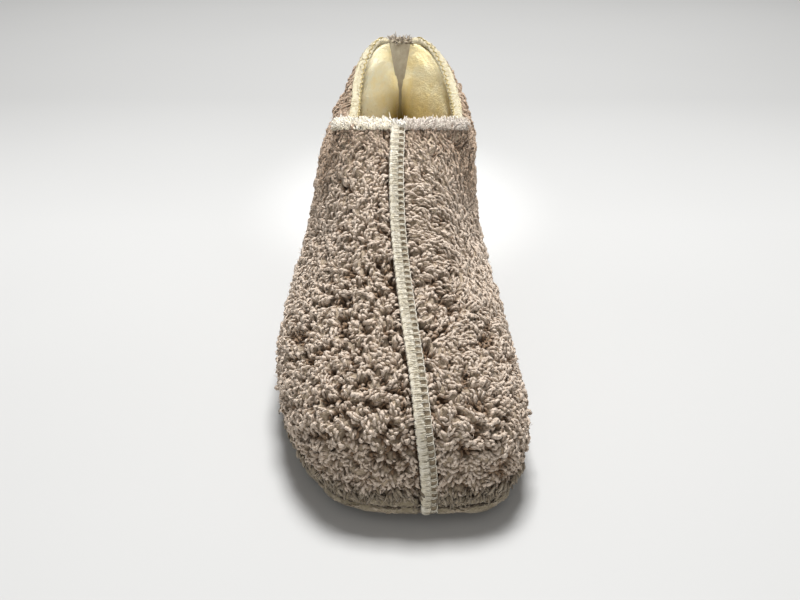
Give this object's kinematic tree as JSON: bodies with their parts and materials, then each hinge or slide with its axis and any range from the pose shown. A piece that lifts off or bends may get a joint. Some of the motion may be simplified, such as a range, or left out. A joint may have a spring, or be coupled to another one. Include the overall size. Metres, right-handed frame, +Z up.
{
  "type": "slipper boot",
  "caption": "Ankle-high slipper boot of curly wool fleece with a cream wool lining, an overlocked front seam and a thin suede sole, for the right foot.",
  "frame": {"origin": "on the floor under the middle of the slipper's bounding box", "axes": "+Z up, -Y to the toe, +X to the inner side of the foot"},
  "size_m": [0.1092, 0.2706, 0.1313],
  "materials": {
    "fleece": "curly taupe wool pile, matt with a soft sheen on the tips",
    "lining": "short brushed cream wool pile",
    "thread": "dense cream and taupe overlock threads",
    "suede": "taupe suede with a matt nap",
    "felt": "flat pressed wool felt"
  },
  "bodies": {
    "root": {"upper": "fleece", "outsole": "suede", "rand": "suede", "insole": "lining", "front_seam": "thread", "heel_seam": "thread", "collar_hem_inner_side": "lining", "collar_hem_outer_side": "lining", "heel_strip": "felt"}
  },
  "joints": []
}
